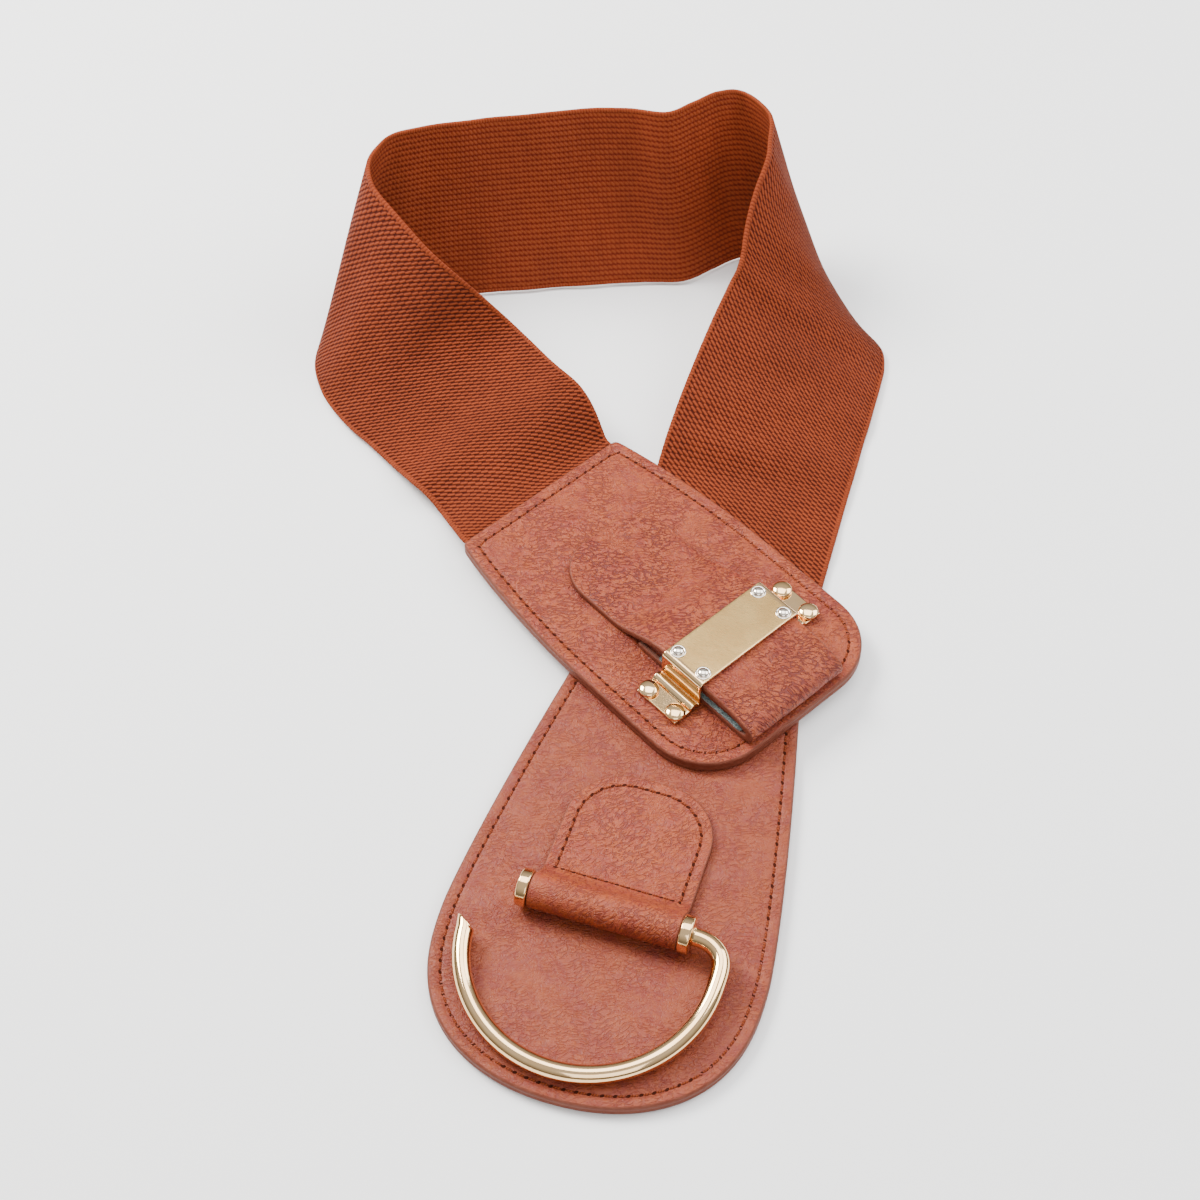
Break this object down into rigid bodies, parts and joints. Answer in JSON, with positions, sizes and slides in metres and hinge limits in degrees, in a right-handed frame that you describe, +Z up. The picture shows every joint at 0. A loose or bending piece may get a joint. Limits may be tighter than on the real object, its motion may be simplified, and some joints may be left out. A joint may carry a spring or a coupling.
{
  "type": "elastic stretch belt",
  "caption": "Waist belt of woven elastic web with leather end plates, a folded strap under a metal bridge, and a swinging wire hook in a leather sleeve.",
  "frame": {"origin": "on the table, under the middle of the lying belt's bounding box", "axes": "+Y from the hook end towards the back of the waist loop, +X to the right of that, +Z up from the table"},
  "size_m": [0.1778, 0.3178, 0.054],
  "materials": {
    "elastic_web": "ribbed twill weave, matt",
    "leather": "grained, softly polished, with painted edges",
    "felt": "short fibre felt",
    "pale_gold": "polished pale gold plating"
  },
  "bodies": {
    "belt": {"elastic_band": "elastic_web", "paddle_plate": "leather", "loop_plate": "leather", "keeper_strap": "leather", "hook_tab": "leather", "loop_lining": "felt", "bridge": "pale_gold", "rivet_1": "pale_gold", "rivet_2": "pale_gold", "rivet_3": "pale_gold", "rivet_4": "pale_gold", "stud_1": "pale_gold", "stud_2": "pale_gold", "stud_3": "pale_gold", "stud_4": "pale_gold"},
    "hook_swivel": {"hook": "pale_gold"}
  },
  "joints": [
    {"name": "hook_swing", "type": "hinge", "parent": "belt", "child": "hook_swivel", "pos_m": [0.00145, -0.10755, 0.0087], "axis": [-0.9494, 0.314, 0], "range_deg": [0, 180]}
  ]
}
